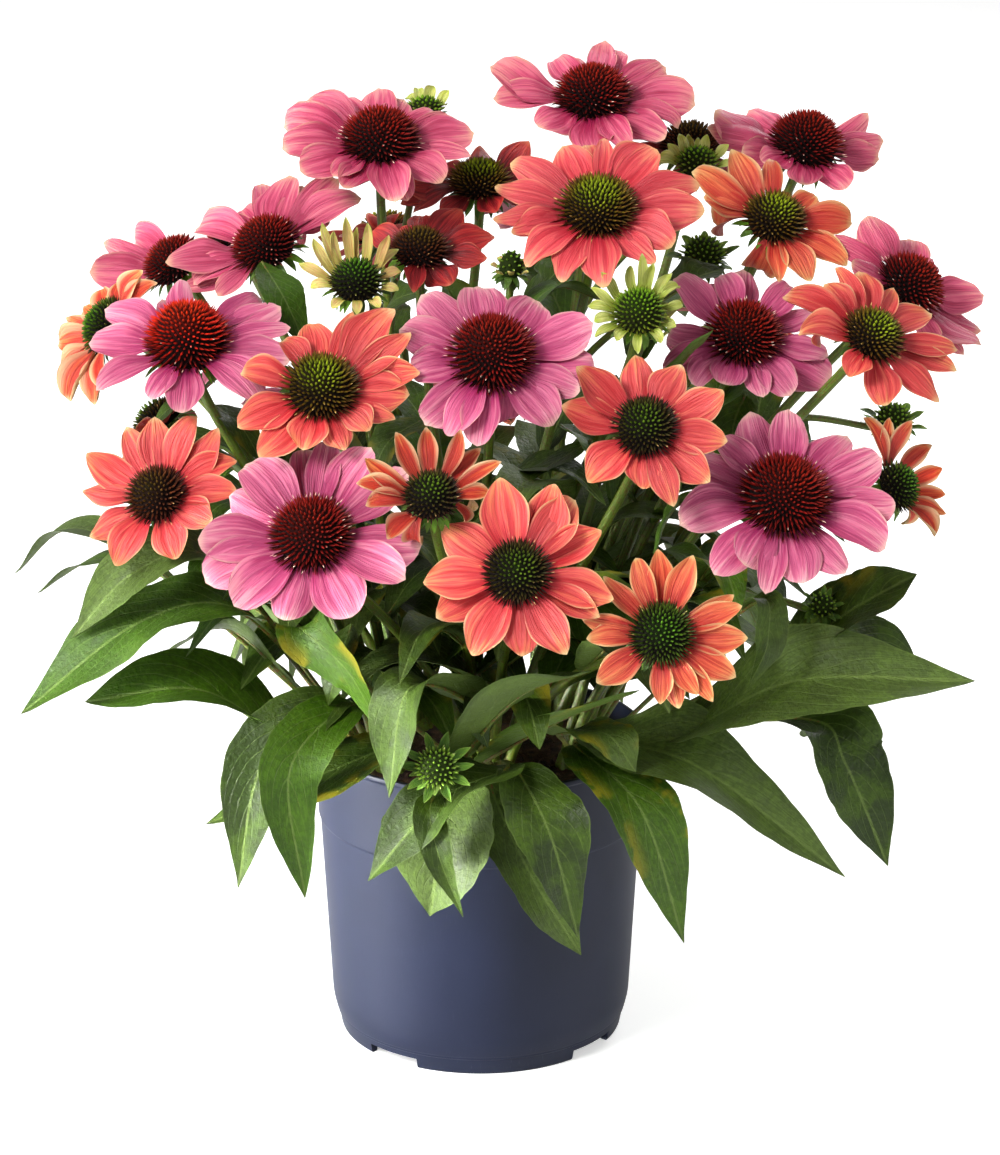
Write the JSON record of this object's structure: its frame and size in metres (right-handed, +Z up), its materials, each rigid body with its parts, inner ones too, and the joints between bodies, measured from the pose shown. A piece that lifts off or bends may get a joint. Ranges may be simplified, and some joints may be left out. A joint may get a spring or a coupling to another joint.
{
  "type": "potted coneflower plant",
  "caption": "Bushy coneflower plant in a round plastic nursery pot, with pink and coral heads on leafy stems and drooping leaves over the rim.",
  "frame": {"origin": "centre of the pot's base, on the surface that the pot stands on", "axes": "+Z up along the pot's axis, front of the plant towards -Y, +X to the right seen from the front"},
  "size_m": [0.4836, 0.3923, 0.5021],
  "materials": {
    "pot_plastic": "satin",
    "soil": "matte",
    "greens": "satin",
    "petals_rose": "matte",
    "petals_pink": "matte",
    "petals_coral": "matte",
    "petals_red": "matte",
    "petals_opening": "matte",
    "cone_spines": "satin"
  },
  "bodies": {
    "root": {"bloom_01_cone": "cone_spines", "bloom_01_petals": "petals_rose", "bloom_02_cone": "cone_spines", "bloom_02_petals": "petals_rose", "bloom_03_cone": "cone_spines", "bloom_03_petals": "petals_rose", "bloom_04_cone": "cone_spines", "bloom_04_petals": "petals_coral", "bloom_05_cone": "cone_spines", "bloom_05_petals": "petals_coral", "bloom_06_cone": "cone_spines", "bloom_06_petals": "petals_rose", "bloom_07_head": "petals_rose", "bloom_08_head": "petals_opening", "bloom_09_cone": "cone_spines", "bloom_09_petals": "petals_red", "bloom_10_cone": "cone_spines", "bloom_10_petals": "petals_red", "bloom_11_cone": "cone_spines", "bloom_11_petals": "petals_pink", "bloom_12_head": "petals_coral", "bloom_13_cone": "cone_spines", "bloom_13_petals": "petals_coral", "bloom_14_cone": "cone_spines", "bloom_14_petals": "petals_pink", "bloom_15_head": "petals_opening", "bloom_16_cone": "cone_spines", "bloom_16_petals": "petals_pink", "bloom_17_cone": "cone_spines", "bloom_17_petals": "petals_coral", "bloom_18_cone": "cone_spines", "bloom_18_petals": "petals_rose", "bloom_19_cone": "cone_spines", "bloom_19_petals": "petals_coral", "bloom_20_cone": "cone_spines", "bloom_20_petals": "petals_pink", "bloom_21_head": "petals_coral", "bloom_22_cone": "cone_spines", "bloom_22_petals": "petals_coral", "bloom_23_cone": "cone_spines", "bloom_23_petals": "petals_pink", "bloom_24_cone": "cone_spines", "bloom_24_petals": "petals_coral", "bloom_25_cone": "cone_spines", "bloom_25_petals": "petals_coral", "bloom_26_cone": "cone_spines", "bloom_26_petals": "petals_coral", "bloom_33_head": "petals_red", "bloom_41_head": "petals_rose", "bloom_42_head": "petals_coral", "bloom_43_head": "petals_pink", "bloom_44_head": "petals_coral", "leafy_stems_back_left": "greens", "leafy_stems_back_right": "greens", "leafy_stems_front": "greens", "leafy_stems_left": "greens", "leafy_stems_middle": "greens", "leafy_stems_right": "greens", "pot": "pot_plastic", "soil": "soil"}
  },
  "joints": []
}
